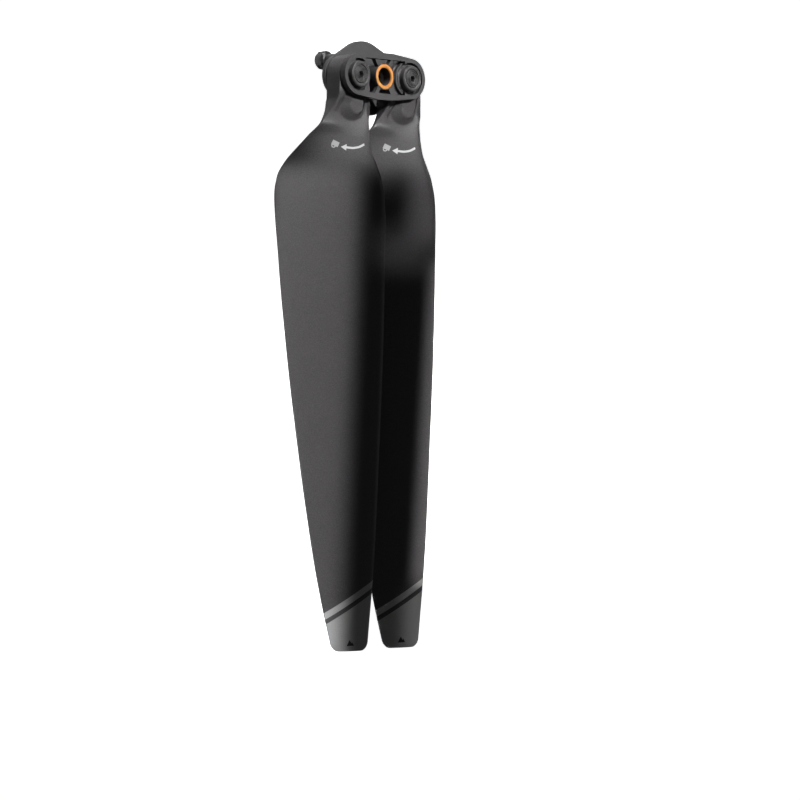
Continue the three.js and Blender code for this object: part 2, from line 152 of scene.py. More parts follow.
def along(law, distance):
    """A smooth curve that never overshoots, through the points of a law, read at one distance."""
    if distance <= law[0][0]:
        return law[0][1]
    if distance >= law[-1][0]:
        return law[-1][1]

    def rise(i):
        return (law[i + 1][1] - law[i][1]) / (law[i + 1][0] - law[i][0])

    def slope(i):
        if i == 0:
            return rise(0)
        if i == len(law) - 1:
            return rise(i - 1)
        before, after = rise(i - 1), rise(i)
        return 2 * before * after / (before + after) if before * after > 0 else 0

    i = next(k for k, (d, _) in enumerate(law) if d > distance) - 1
    span = law[i + 1][0] - law[i][0]
    t = (distance - law[i][0]) / span
    keep = (1 + 2 * t) * (1 - t) ** 2
    bend = slope(i) * t * (1 - t) ** 2 - slope(i + 1) * t * t * (1 - t)
    return keep * law[i][1] + (1 - keep) * law[i + 1][1] + span * bend


def mix(a, b, share):
    return a + (b - a) * share


def smoothstep(low_end, high_end, value):
    t = min(max((value - low_end) / (high_end - low_end), 0), 1)
    return t * t * (3 - 2 * t)


def edges(distance):
    """X of the trailing and leading edges, drawn in at the round root end and at the tip's corners."""
    if distance < 0:
        half = math.sqrt(max(ROOT_R**2 - distance**2, 0.01))
        return half, -half
    past = max(distance - (BLADE_LENGTH - TIP_CORNER_R), 0)
    drawn = TIP_CORNER_R - math.sqrt(max(TIP_CORNER_R**2 - past**2, 0))
    return along(TRAILING_X, distance) - drawn, along(LEADING_X, distance) + drawn


def past_tongue(x, distance):
    """How far a place on the root's upper face lies outside the flat top of the U-shaped tongue."""
    start = TONGUE_END - TONGUE_END_HALF
    half = mix(TONGUE_HALF, TONGUE_END_HALF, smoothstep(TONGUE_TAPER_START, start, distance))
    beyond = max(distance - start, 0) * half / TONGUE_END_HALF
    return max(math.hypot(x - TONGUE_X, beyond) - half, 0)


def nose_share(x, leading, distance):
    """How much of the thickness is left this close to the leading edge, which is round past the root."""
    length = NOSE * smoothstep(NOSE_START, NOSE_FULL, distance)
    length *= mix(1, NOSE_TIP_SHARE, distance / BLADE_LENGTH)
    if x - leading >= length:
        return 1
    return max(math.sqrt(1 - (1 - (x - leading) / length) ** 2), NOSE_LEAST)


def surfaces(x, distance):
    """Z of the blade's upper and lower faces at a place in its plan."""
    trailing, leading = edges(distance)
    s = min(max((x - trailing) / (leading - trailing), 0), 1)
    chord = mix(along(TRAILING_Z, distance), along(LEADING_Z, distance), s)
    edge = mix(along(TRAILING_THICKNESS, distance), along(LEADING_THICKNESS, distance), s)
    centre = chord + 4 * s * (1 - s) * along(CAMBER, distance)
    half = edge / 2 + along(HALF_BULGE, distance) * BULGE * s**BULGE_LEAN * math.sqrt(1 - s)
    end = max(distance - (BLADE_LENGTH - TIP_ROUNDING), 0) / TIP_ROUNDING
    half *= math.sqrt(max(1 - end**2, 0.02)) * nose_share(x, leading, distance)
    top, bottom = centre + half, centre - half
    if distance < TONGUE_END + TROUGH_REACH:
        past = past_tongue(x, distance)
        hollow = TROUGH_DEPTH * smoothstep(TROUGH_START, TROUGH_FULL, distance)
        hollow *= 1 - smoothstep(1, TROUGH_REACH, past)
        hollow *= smoothstep(0, TROUGH_FROM_TRAILING, trailing - x)
        hollow *= smoothstep(0, TROUGH_FROM_LEADING, x - leading)
        top = min(top, ROOT_TOP) - hollow
        tongue = ROOT_TOP - TONGUE_SLOPE * past
        top = min((top + tongue + math.hypot(top - tongue, CREASE)) / 2, ROOT_TOP)
    if distance < ROOT_END:
        bottom = max(bottom, ROOT_BOTTOM)
    return top, bottom


# ---- mesh building -------------------------------------------------------------------------------
ROUND_SIDES = 96  # of round pieces and holes


def new_object(name, mesh):
    obj = bpy.data.objects.new(name, mesh)
    bpy.context.scene.collection.objects.link(obj)
    return obj


def from_rings(name, rings):
    """A skin over closed rings of points, in millimetres, with both ends capped."""
    mesh = bpy.data.meshes.new(name)
    count = len(rings[0])
    points = [(x * MM, y * MM, z * MM) for ring in rings for x, y, z in ring]
    faces = []
    for r in range(len(rings) - 1):
        here, there = r * count, (r + 1) * count
        for i in range(count):
            j = (i + 1) % count
            faces.append((here + i, here + j, there + j, there + i))
    faces.append(tuple(range(count))[::-1])
    faces.append(tuple((len(rings) - 1) * count + i for i in range(count)))
    mesh.from_pydata(points, [], faces)
    mesh.update()
    return new_object(name, mesh)


def face_outwards(obj):
    bm = bmesh.new()
    bm.from_mesh(obj.data)
    bmesh.ops.recalc_face_normals(bm, faces=bm.faces)
    bm.to_mesh(obj.data)
    bm.free()


def rounded(profile, rounding):
    """A closed (r, z) profile with each corner off the axis replaced by a small curve."""
    steps = 4
    result = []
    for i, (r, z) in enumerate(profile):
        here = Vector((r, z))
        before, after = Vector(profile[i - 1]), Vector(profile[(i + 1) % len(profile)])
        if r < 1e-6:
            result.append(here)
            continue
        into, out = (here - before), (after - here)
        reach = min(rounding, into.length * 0.45, out.length * 0.45)
        turn = into.normalized().angle(out.normalized())
        if turn < 0.05 or reach < 1e-3:
            result.append(here)
            continue
        start, end = here - into.normalized() * reach, here + out.normalized() * reach
        for k in range(steps + 1):
            t = k / steps
            result.append(start * (1 - t) ** 2 + here * 2 * t * (1 - t) + end * t * t)
    return [(p.x, p.y) for p in result]


def turned(name, profile, at=(0, 0), rounding=0.12):
    """A turned piece about a vertical axis from a closed (r, z) profile, its corners eased."""
    bm = bmesh.new()
    angles = [2 * math.pi * k / ROUND_SIDES for k in range(ROUND_SIDES)]
    rings = []
    for r, z in rounded(profile, rounding):
        if r < 1e-6:
            rings.append([bm.verts.new((0, 0, z * MM))])
            continue
        rings.append([bm.verts.new((r * MM * math.cos(a), r * MM * math.sin(a), z * MM)) for a in angles])
    for first, second in zip(rings, rings[1:] + rings[:1]):
        if len(first) == len(second) == 1:
            continue
        for k in range(ROUND_SIDES):
            j = (k + 1) % ROUND_SIDES
            corners = [first[k % len(first)], first[j % len(first)]]
            corners += [second[j % len(second)], second[k % len(second)]]
            unique = list(dict.fromkeys(corners))
            if len(unique) > 2:
                bm.faces.new(unique)
    bmesh.ops.recalc_face_normals(bm, faces=bm.faces)
    mesh = bpy.data.meshes.new(name)
    bm.to_mesh(mesh)
    bm.free()
    mesh.transform(Matrix.Translation((at[0] * MM, at[1] * MM, 0)))
    return new_object(name, mesh)


def prism(outline, bottom, top):
    """A scratch solid from a plan outline, used for joins and cuts."""
    rings = [[(x, y, z) for x, y in outline] for z in (bottom, top)]
    obj = from_rings("tool", rings)
    face_outwards(obj)
    return obj


def circle(r, at=(0, 0), sides=ROUND_SIDES):
    angles = [2 * math.pi * k / sides for k in range(sides)]
    return [(at[0] + r * math.cos(a), at[1] + r * math.sin(a)) for a in angles]


def rectangle(half_x, half_y, angle=0.0, at=(0, 0)):
    turn = Matrix.Rotation(angle, 2)
    corners = ((-half_x, -half_y), (half_x, -half_y), (half_x, half_y), (-half_x, half_y))
    return [tuple(turn @ Vector(c) + Vector(at)) for c in corners]


def apply_modifiers(obj):
    graph = bpy.context.evaluated_depsgraph_get()
    mesh = bpy.data.meshes.new_from_object(obj.evaluated_get(graph))
    obj.modifiers.clear()
    obj.data = mesh
    return obj


def boolean(obj, operation, *tools):
    for tool in tools:
        modifier = obj.modifiers.new(operation, "BOOLEAN")
        modifier.operation = operation
        modifier.solver = "EXACT"
        modifier.object = tool
    apply_modifiers(obj)
    for tool in tools:
        bpy.data.objects.remove(tool)
    return obj


def ease_edges(obj, width):
    """Rounds the piece's sharp edges, as a moulding's are."""
    bm = bmesh.new()
    bm.from_mesh(obj.data)
    bmesh.ops.remove_doubles(bm, verts=bm.verts, dist=0.004 * MM)
    bmesh.ops.dissolve_limit(bm, angle_limit=math.radians(0.5), verts=bm.verts, edges=bm.edges)
    bm.to_mesh(obj.data)
    bm.free()
    modifier = obj.modifiers.new("ease", "BEVEL")
    modifier.width = width * MM
    modifier.segments = 3
    modifier.limit_method = "ANGLE"
    modifier.angle_limit = math.radians(32)
    modifier.use_clamp_overlap = True
    return apply_modifiers(obj)


def finish_piece(obj, material, body, replaced=(), sharp=40, even=True):
    """Smooth shading that keeps flat faces flat, then the finish and the body that the piece rides."""
    for polygon in obj.data.polygons:
        polygon.use_smooth = True
    obj.data.set_sharp_from_angle(angle=math.radians(sharp))
    if even:
        obj.modifiers.new("even", "WEIGHTED_NORMAL").keep_sharp = True
        apply_modifiers(obj)
    obj.data.materials.clear()
    obj.data.materials.append(material)
    if replaced:
        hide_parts(*replaced)
    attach(obj, body)
    return obj


# ---- materials -----------------------------------------------------------------------------------
class Shader:
    """A Principled material with short ways to add the nodes that it needs."""

    def __init__(self, name, roughness=0.5, metallic=0.0, specular=0.5):
        self.material = bpy.data.materials.new(name)
        self.material.use_nodes = True
        self.tree = self.material.node_tree
        self.bsdf = self.tree.nodes["Principled BSDF"]
        self.set("Roughness", roughness)
        self.set("Metallic", metallic)
        self.set("Specular IOR Level", specular)

    def set(self, socket, value):
        if isinstance(value, bpy.types.NodeSocket):
            self.tree.links.new(value, self.bsdf.inputs[socket])
        else:
            self.bsdf.inputs[socket].default_value = value

    def node(self, kind, inputs=(), output=0, **settings):
        node = self.tree.nodes.new(kind)
        for key, value in settings.items():
            setattr(node, key, value)
        for key, value in dict(inputs).items():
            if isinstance(value, bpy.types.NodeSocket):
                self.tree.links.new(value, node.inputs[key])
            else:
                node.inputs[key].default_value = value
        return node.outputs[output]

    def math(self, operation, a, b=0.0, clamp=False):
        return self.node("ShaderNodeMath", {0: a, 1: b}, operation=operation, use_clamp=clamp)

    def place(self):
        return self.node("ShaderNodeTexCoord", output="Object")

    def noise(self, size_mm, detail=3.0, stretch=(1, 1, 1)):
        """Noise whose features are about size_mm across, from 0 to 1."""
        scale = tuple(1 / (size_mm * MM * s) for s in stretch)
        vector = self.node("ShaderNodeMapping", {"Vector": self.place(), "Scale": scale})
        inputs = {"Vector": vector, "Scale": 1.0, "Detail": detail, "Roughness": 0.55}
        return self.node("ShaderNodeTexNoise", inputs)

    def range(self, value, low_end, high_end, to_low=0.0, to_high=1.0):
        inputs = {"Value": value, 1: low_end, 2: high_end, 3: to_low, 4: to_high}
        return self.node("ShaderNodeMapRange", inputs)

    def blend(self, share, first, second):
        node = self.tree.nodes.new("ShaderNodeMix")
        node.data_type = "RGBA"
        for index, value in ((0, share), (6, first), (7, second)):
            if isinstance(value, bpy.types.NodeSocket):
                self.tree.links.new(value, node.inputs[index])
            else:
                node.inputs[index].default_value = value
        return node.outputs[2]

    def worn_edges(self):
        """Picks out the outer edges, where handling polishes and lightens the surface."""
        point = self.node("ShaderNodeNewGeometry", output="Pointiness")
        return self.math("MULTIPLY", self.range(point, 0.52, 0.58), self.noise(1.5), clamp=True)

    def bump(self, height, distance_mm, normal=None):
        inputs = {"Height": height, "Distance": distance_mm * MM, "Strength": 1.0}
        if normal is not None:
            inputs["Normal"] = normal
        return self.node("ShaderNodeBump", inputs)


MOULDED_WARMTH, BLADE_WARMTH = 0.03, 0.05


def grey(value, warm=0.0):
    """A grey, made redder by warm."""
    return (value * (1 + warm), value, value * (1 + warm * 0.6), 1.0)


def moulded_plastic(name, shade, rough, grain=0.16, depth=0.006):
    """Satin moulded plastic: a fine spark-eroded grain, cloudy gloss and lighter worn edges."""
    s = Shader(name, specular=0.4)
    warm = MOULDED_WARMTH
    fine = s.noise(grain, detail=2.0)
    cloud = s.noise(6.0, detail=4.0)
    body = s.blend(s.range(cloud, 0.3, 0.7), grey(shade * 0.93, warm), grey(shade * 1.07, warm))
    body = s.blend(s.range(fine, 0.35, 0.75, 0.0, 0.28), body, grey(shade * 1.9, warm))
    s.set("Base Color", s.blend(s.math("MULTIPLY", s.worn_edges(), 0.35), body, grey(shade * 2.6, warm)))
    s.set("Roughness", s.range(s.noise(2.5), 0.3, 0.7, rough - 0.04, rough + 0.05))
    s.set("Normal", s.bump(fine, depth))
    return s.material


def steel(name, shade, rough, metallic=0.9, brushing=0.003):
    """Turned or blackened steel, with fine brushing along the piece."""
    s = Shader(name, metallic=metallic, roughness=rough)
    streaks = s.noise(0.12, detail=4.0, stretch=(1, 1, 12))
    cloud = s.noise(1.8)
    s.set("Base Color", s.blend(s.range(cloud, 0.3, 0.7), grey(shade * 0.85), grey(shade * 1.25)))
    s.set("Roughness", s.range(streaks, 0.3, 0.7, rough - 0.07, rough + 0.1))
    s.set("Normal", s.bump(streaks, brushing))
    return s.material


# The tip's paint: a narrow band and a broad field, split by a dark line that runs across the blade.
PAINT_START, PAINT_LEAN, PAINT_FROM_X = 167.8, 0.53, -9.3
PAINT_BAND, PAINT_FIELD = 2.4, 4.1  # the band's width, and how far past its start the field begins
PAINT_SOFTNESS = 0.05
PAINT_SHADES = 0.36, 0.42
BLADE_SHADES = 0.0495, 0.0535
BLADE_FLECKS, BLADE_WEAR = 0.12, 0.2  # shades of the light flecks and of the worn edges


def blade_plastic():
    """The blades' satin plastic, with the tip's paint laid out by the plan coordinates in the UV map."""
    s = Shader("blade_plastic", specular=0.32)
    plan = s.node("ShaderNodeSeparateXYZ", {"Vector": s.node("ShaderNodeUVMap", uv_map="plan")}, output="X")
    x = s.math("DIVIDE", plan, MM)
    y = s.math("DIVIDE", plan.node.outputs["Y"], MM)
    lean = s.math("MULTIPLY", s.math("SUBTRACT", x, PAINT_FROM_X), PAINT_LEAN)
    past = s.math("SUBTRACT", s.math("SUBTRACT", y, PAINT_START), lean)

    def painted_past(edge):
        return s.range(past, edge - PAINT_SOFTNESS, edge + PAINT_SOFTNESS)

    band = s.math("SUBTRACT", painted_past(0), painted_past(PAINT_BAND))
    paint = s.math("ADD", band, painted_past(PAINT_FIELD), clamp=True)

    fine = s.noise(0.32, detail=2.0)
    cloud = s.noise(9.0, detail=4.0)
    shades = (grey(shade, BLADE_WARMTH) for shade in BLADE_SHADES)
    dark = s.blend(s.range(cloud, 0.3, 0.7), *shades)
    dark = s.blend(s.range(fine, 0.35, 0.7, 0.0, 0.45), dark, grey(BLADE_FLECKS, BLADE_WARMTH))
    dark = s.blend(s.math("MULTIPLY", s.worn_edges(), 0.3), dark, grey(BLADE_WEAR, MOULDED_WARMTH))
    painted = s.blend(s.range(fine, 0.3, 0.8), *(grey(shade, 0.01) for shade in PAINT_SHADES))
    s.set("Base Color", s.blend(paint, dark, painted))
    rough = s.range(s.noise(3.0), 0.3, 0.7, 0.44, 0.52)
    s.set("Roughness", s.math("SUBTRACT", rough, s.math("MULTIPLY", paint, 0.05)))
    paint_edge = s.bump(paint, 0.02)
    s.set("Normal", s.bump(fine, 0.007, normal=paint_edge))
    return s.material


ORANGES = (0.43, 0.16, 0.035, 1), (0.5, 0.2, 0.045, 1)
ORANGE_GLOW, ORANGE_GLOW_STRENGTH = (0.85, 0.42, 0.12, 1), 0.22


def orange_ring():
    """Orange plastic, with a little emission that keeps it bright where the lamps are dim."""
    s = Shader("ring_plastic", roughness=0.42)
    cloud = s.noise(1.2)
    s.set("Base Color", s.blend(s.range(cloud, 0.3, 0.7), *ORANGES))
    s.set("Emission Color", ORANGE_GLOW)
    s.set("Emission Strength", ORANGE_GLOW_STRENGTH)
    s.set("Normal", s.bump(s.noise(0.2), 0.004))
    return s.material


def print_ink(name, shade):
    s = Shader(name, roughness=0.55, specular=0.3)
    speck = s.noise(0.12, detail=2.0)
    s.set("Base Color", s.blend(s.range(speck, 0.35, 0.6), grey(shade * 0.85), grey(shade)))
    s.set("Normal", s.bump(speck, 0.003))
    return s.material


MATERIALS = {
    "blade": blade_plastic(),
    "hub": moulded_plastic("hub_plastic", 0.047, 0.5),
    "cap": moulded_plastic("cap_plastic", 0.055, 0.42, grain=0.12, depth=0.003),
    "ring": orange_ring(),
    "screw": steel("screw_steel", 0.05, 0.45, metallic=0.3, brushing=0.0008),
    "black_steel": steel("black_steel", 0.035, 0.34),
    "bright_steel": steel("bright_steel", 0.45, 0.25),
    "bearing": moulded_plastic("bearing_plastic", 0.05, 0.38, grain=0.3, depth=0.002),
    "stud": moulded_plastic("stud_plastic", 0.013, 0.36, grain=0.2, depth=0.003),
    "white_print": print_ink("white_print", 0.66),
    "grey_print": print_ink("grey_print", 0.42),
    "dark_print": print_ink("dark_print", 0.02),
}


# ---- blades --------------------------------------------------------------------------------------
CHORD_STEPS = 64
CORNER_STEPS = 4
EDGE_ROUNDING = 0.45
STATION_RUNS = ((0, 0.3, 88), (26.5, 0.9, 27), (51, 2.5, 54))  # first distance, step and count
TIP_STEP = 0.15


def section(distance):
    """A closed loop of (x, z): over the top from the trailing edge, round the nose, back underneath."""
    trailing, leading = edges(distance)
    loop = []

    def corner(x, towards, level_in, level_out):
        """A rounded edge at x from one level to another, bulging in the direction of towards."""
        drop = level_out - level_in
        r = math.copysign(min(abs(drop) / 2, EDGE_ROUNDING), drop)
        angles = [math.pi / 2 * k / CORNER_STEPS for k in range(1, CORNER_STEPS + 1)]
        start = [(math.sin(a), level_in + r * (1 - math.cos(a))) for a in angles]
        end = [(math.sin(a), level_out - r * (1 - math.cos(a))) for a in reversed(angles)]
        loop.extend((x + towards * abs(r) * out, z) for out, z in start + end)

    def inset(x):
        top, bottom = surfaces(x, distance)
        return min(abs(top - bottom) / 2, EDGE_ROUNDING)

    first_inset, last_inset = inset(trailing), inset(leading)
    if trailing - leading < 2.2 * (first_inset + last_inset):
        first_inset = last_inset = (trailing - leading) * 0.2
    shares = [0.5 - 0.5 * math.cos(math.pi * i / CHORD_STEPS) for i in range(CHORD_STEPS + 1)]
    xs = [mix(trailing - first_inset, leading + last_inset, share) for share in shares]
    levels = [surfaces(x, distance) for x in xs]
    loop += [(x, top) for x, (top, _) in zip(xs, levels)]
    corner(xs[-1], -1, levels[-1][0], levels[-1][1])
    loop += [(x, bottom) for x, (_, bottom) in reversed(list(zip(xs, levels)))]
    corner(xs[0], 1, levels[0][1], levels[0][0])
    return loop


def stations():
    """Distances from the pivot at which the blade is cut, closer where the shape changes quickly."""
    result = [-ROOT_R * math.cos(math.radians(a)) for a in range(4, 90, 4)]
    for start, step, count in STATION_RUNS:
        result += [start + k * step for k in range(count)]
    corner_start = BLADE_LENGTH - TIP_CORNER_R
    result += [corner_start + k * TIP_STEP for k in range(round(TIP_CORNER_R / TIP_STEP))]
    return result + [BLADE_LENGTH - 0.05, BLADE_LENGTH]


def make_blade(side):
    """A blade, bored for its bush and washers, whose UV map holds its plan coordinates."""
    pivot = PIVOT_X[side]
    rings = [[(pivot + x, d, z) for x, z in section(d)] for d in stations()]
    obj = from_rings(f"blade_{side}_moulding", rings)
    face_outwards(obj)
    plan = obj.data.uv_layers.new(name="plan")
    for loop in obj.data.loops:
        co = obj.data.vertices[loop.vertex_index].co
        plan.data[loop.index].uv = (co.x - pivot * MM, co.y)
    bush = radius("blade_bush_a") + GAP
    washer = radius("upper_washer_a") + GAP
    recess = low("upper_washer_a", "z") - GAP, high("lower_washer_a", "z") + GAP
    at = (pivot, 0)
    tools = (
        prism(circle(bush, at), ROOT_BOTTOM - 1, ROOT_TOP + 1),
        prism(circle(washer, at), recess[0], ROOT_TOP + 1),
        prism(circle(washer, at), ROOT_BOTTOM - 1, recess[1]),
    )
    boolean(obj, "DIFFERENCE", *tools)
    replaced = [f"blade_{side}"]
    return finish_piece(obj, MATERIALS["blade"], SIDES[side], replaced, 48, even=False)


# ---- printed marks -------------------------------------------------------------------------------
INK, INK_THICKNESS = 0.03, 0.048  # how far the ink's middle stands off the surface, and its thickness
ARROW = ((-4.4, 22.9), (-2.0, 23.95), (0.15, 24.25), (2.1, 24.1))  # from the tail to the base of the head
ARROW_TIP = (4.0, 24.0)
ARROW_WIDTH, ARROW_HEAD_WIDTH = 0.7, 2.1
LOCK_AT, LOCK_TURN, LOCK_WIDTH, LOCK_HEIGHT = (5.9, 22.95), math.radians(-22), 2.4, 1.65
SHACKLE_R, SHACKLE_BORE_R, SHACKLE_FROM_END = 0.78, 0.4, 0.95
PEAKS_AT = (0.36, 189.35)
PEAKS = ((0.2, 1.15, 2.0), (-0.8, 0.75, 1.25))  # place across, half width and height of each


def on_blade(side, cells, name, material):
    """Lays a mark on the blade's upper face. cells are quads or triangles of (x, distance)."""
    bm = bmesh.new()
    pivot = PIVOT_X[side]
    found = {}

    def vertex(point):
        key = (round(point[0], 4), round(point[1], 4))
        if key not in found:
            z = surfaces(*point)[0] + INK
            found[key] = bm.verts.new(((pivot + point[0]) * MM, point[1] * MM, z * MM))
        return found[key]

    for cell in cells:
        corners = list(dict.fromkeys(vertex(p) for p in cell))
        if len(corners) > 2:
            bm.faces.new(corners)
    bmesh.ops.recalc_face_normals(bm, faces=bm.faces)
    mesh = bpy.data.meshes.new(name)
    bm.to_mesh(mesh)
    bm.free()
    obj = new_object(name, mesh)
    solid = obj.modifiers.new("ink", "SOLIDIFY")
    solid.thickness = INK_THICKNESS * MM
    solid.offset = 0
    apply_modifiers(obj)
    face_outwards(obj)
    return finish_piece(obj, material, SIDES[side], even=False)


def patch(corners, steps):
    """Cells of a four-cornered patch, split so that it follows the surface."""
    (a, b, c, d), cells = corners, []

    def at(u, v):
        return tuple(mix(mix(a[i], b[i], u), mix(d[i], c[i], u), v) for i in (0, 1))

    nu, nv = steps
    for i in range(nu):
        for j in range(nv):
            quad = ((i, j), (i + 1, j), (i + 1, j + 1), (i, j + 1))
            cells.append([at(p / nu, q / nv) for p, q in quad])
    return cells


def arrow_cells():
    """A curved arrow that shows which way the blade turns, with its head towards the trailing edge."""
    cells, count = [], 24
    xs = [x for x, _ in ARROW]

    def spine(share):
        x = mix(xs[0], xs[-1], share)
        return Vector((x, along(ARROW, x)))

    def rib(share, width):
        way = (spine(min(share + 0.01, 1)) - spine(share - 0.01)).normalized()
        across = Vector((-way.y, way.x)) * width / 2
        return tuple(spine(share) + across), tuple(spine(share) - across)

    for k in range(count):
        (a, b), (c, d) = rib(k / count, ARROW_WIDTH), rib((k + 1) / count, ARROW_WIDTH)
        cells += patch((a, c, d, b), (1, 3))
    left, right = rib(1, ARROW_HEAD_WIDTH)
    return cells + patch((left, ARROW_TIP, ARROW_TIP, right), (8, 6))


def lock_cells():
    """A plain padlock, turned as the arrow's end is: a body with a round shackle beside it."""
    turn = Matrix.Rotation(LOCK_TURN, 2)
    half_w, half_h = LOCK_WIDTH / 2, LOCK_HEIGHT / 2

    def place(x, y):
        return tuple(turn @ Vector((x, y)) + Vector(LOCK_AT))

    body = [place(-half_w, -half_h), place(half_w, -half_h), place(half_w, half_h), place(-half_w, half_h)]
    cells, count = patch(body, (6, 4)), 16
    shackle_x = half_w - SHACKLE_FROM_END
    for k in range(count):
        a, b = (math.pi * (k + i) / count for i in (0, 1))
        quad = [(SHACKLE_R, a), (SHACKLE_R, b), (SHACKLE_BORE_R, b), (SHACKLE_BORE_R, a)]
        cells.append([place(shackle_x + r * math.cos(t), half_h + r * math.sin(t)) for r, t in quad])
    return cells


def peak_cells():
    """Two small peaks, a plain mark at the tip."""
    x, y = PEAKS_AT
    cells = []
    for centre, half, height in PEAKS:
        apex = (x + centre, y - height)
        base = (x + centre + half, y), (x + centre - half, y)
        cells += patch([apex, apex, *base], (4, 6))
    return cells


def make_marks(side):
    """The marks printed on one blade: which way it turns, a padlock, and peaks at the tip."""
    on_blade(side, arrow_cells(), f"turn_arrow_{side}", MATERIALS["white_print"])
    on_blade(side, lock_cells(), f"lock_mark_{side}", MATERIALS["grey_print"])
    on_blade(side, peak_cells(), f"tip_mark_{side}", MATERIALS["dark_print"])


# ---- hub -----------------------------------------------------------------------------------------
LAND_R, LAND_TOP = 6, 1  # the round land that sits on the motor
SCREW_R = 1.25
SCREW_HOLE_R = 1.45
CENTRE_HOLE_BOTTOM = 0.7
STUD_SHANK_R, STUD_HOLE_R, STUD_HOLE_TOP = 1.4, 1.6, 1.2
PLATE_FLAT = 3.6  # half the length over which the top plate's sides run straight
WINDOW_HALF_HEIGHT, WINDOW_HALF_LENGTH = 5.7, 9.2
SPOKE_WIDTH, SPOKE_ANGLE = 1.4, math.radians(57)
SPOKE_TOP = PLATE_TOP - 0.4
TUBE_FLOOR_BOTTOM, TUBE_FLOOR_TOP = 4.1, 5.3  # a floor in the centre tube, which the centre screw clamps
CENTRE_HEAD_BOTTOM = 5.5
RING_BORE_R = 3.05
CAP_RIM = 0.65  # the wall of the top plate round each cap
CAP_FLOOR, CAP_CHAMFER, CAP_STEP = 1.3, 0.3, 0.12
SCREW_HEAD_HEIGHT, SCREW_POINT = 1.3, 0.3
TURNED_RINGS, GROOVE_DEPTH = (2.5, 2.0, 1.6), 0.14  # grooves that the tool left in the screw's face
SOCKET_R, SOCKET_DEPTH = 1.15, 1.6
NUT_FLANGE_BOTTOM, NUT_R = -0.5, 3.1
STUD_HEAD_HEIGHT, STUD_NECK_R, STUD_COLLAR = 4.2, 1.85, 0.5
NOTCH_HALF_WIDTH, NOTCH_DEPTH, NOTCH_HEIGHT = 0.75, 0.45, 2.4


def arc(centre, r, start, end, steps=24):
    """Points on an arc in plan, from one angle to another in degrees."""
    angles = [math.radians(mix(start, end, k / steps)) for k in range(steps + 1)]
    return [(centre + r * math.cos(a), r * math.sin(a)) for a in angles]


def flange_outline():
    """A round end about each pivot and a leaning round lobe on each side, joined by their tangents."""
    drop = FLANGE_R - FLANGE_END_R
    near = math.degrees(math.acos(drop / (PIVOT_X["a"] - LOBE_LEAN)))
    far = math.degrees(math.acos(drop / (PIVOT_X["a"] + LOBE_LEAN)))
    outline = []
    for side, turn in ((1, 0), (-1, 180)):
        outline += arc(side * PIVOT_X["a"], FLANGE_END_R, turn - near, turn + far)
        outline += arc(-side * LOBE_LEAN, FLANGE_R, turn + far, turn + 180 - near)
    return outline


def top_outline():
    """Straight in the middle, then narrowing a little to the round ends over the pivots."""
    run = PIVOT_X["a"] - PLATE_FLAT
    reach = math.hypot(run, PLATE_HALF_WIDTH)
    lean = 90 - math.degrees(math.atan2(PLATE_HALF_WIDTH, run) - math.asin(ROOT_R / reach))
    shoulder = ((PLATE_FLAT, PLATE_HALF_WIDTH), (-PLATE_FLAT, PLATE_HALF_WIDTH))
    outline = arc(PIVOT_X["a"], ROOT_R, -lean, lean) + list(shoulder)
    outline += arc(-PIVOT_X["a"], ROOT_R, 180 - lean, 180 + lean)
    return outline + [(-x, -y) for x, y in shoulder]


def make_bottom_plate():
    """The flange under the roots, with a land that sits on the motor and a spigot in the centre tube."""
    top = high("bottom_plate", "z")
    obj = prism(flange_outline(), FLANGE_BOTTOM, FLANGE_TOP)
    obj.name = "bottom_plate_moulding"
    land = prism(circle(LAND_R), 0, LAND_TOP)
    spigot = prism(circle(SPIGOT_R), LAND_TOP, top)
    boolean(obj, "UNION", land, spigot)
    cuts = [prism(circle(SCREW_HOLE_R), CENTRE_HOLE_BOTTOM, top + 1)]
    for x in PIVOT_X.values():
        cuts.append(prism(circle(SCREW_HOLE_R, (x, 0)), FLANGE_BOTTOM - 1, FLANGE_TOP + 1))
    for number in (1, 2):
        at = middle(f"bayonet_stud_{number}")
        cuts.append(prism(circle(STUD_HOLE_R, at), FLANGE_BOTTOM - 1, STUD_HOLE_TOP))
    boolean(obj, "DIFFERENCE", *cuts)
    ease_edges(obj, 0.3)
    return finish_piece(obj, MATERIALS["hub"], "hub", ["bottom_plate"])


